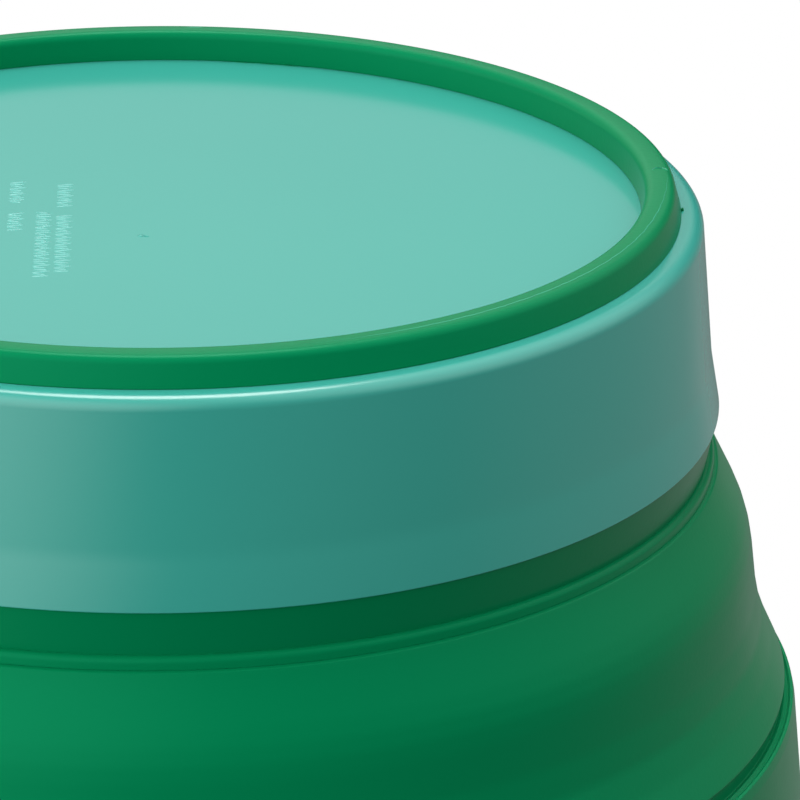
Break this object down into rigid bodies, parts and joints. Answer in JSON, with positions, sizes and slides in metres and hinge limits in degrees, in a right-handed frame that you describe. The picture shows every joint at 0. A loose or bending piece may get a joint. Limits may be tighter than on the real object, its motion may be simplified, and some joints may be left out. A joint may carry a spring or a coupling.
{
  "type": "collapsible disinfectant jar",
  "caption": "Collapsible soaking jar standing on its lid: hard base cup with soft foot ring, soft stepped wall that folds flat, hard mouth rim and push-on lid.",
  "frame": {"origin": "on the jar's axis, at the flat outer face of the lid, which is the lowest face as the jar stands on its mouth", "axes": "+Z along the jar's axis from the lid up to the foot ring; X and Y are free directions of a turned part"},
  "size_m": [0.222, 0.222, 0.1718],
  "materials": {
    "mint_plastic": "gloss",
    "green_soft": "satin"
  },
  "bodies": {
    "base": {"base_cup": "mint_plastic", "foot_ring": "green_soft", "upper_collar": "green_soft", "upper_fold_web": "green_soft"},
    "middle": {"middle_band": "green_soft", "lower_fold_web": "green_soft"},
    "rim": {"mouth_rim": "mint_plastic", "rim_collar": "green_soft"},
    "cover": {"lid": "mint_plastic", "lid_seal": "green_soft"}
  },
  "joints": [
    {"name": "upper_fold", "type": "slide", "parent": "base", "child": "middle", "axis": [0, 0, 1], "range_m": [0, 0.062], "deforming": ["upper_fold_web"]},
    {"name": "lower_fold", "type": "slide", "parent": "middle", "child": "rim", "axis": [0, 0, 1], "range_m": [0, 0.062], "deforming": ["lower_fold_web"]},
    {"name": "lid_pull", "type": "slide", "parent": "rim", "child": "cover", "axis": [0, 0, -1], "range_m": [0, 0.06]}
  ]
}
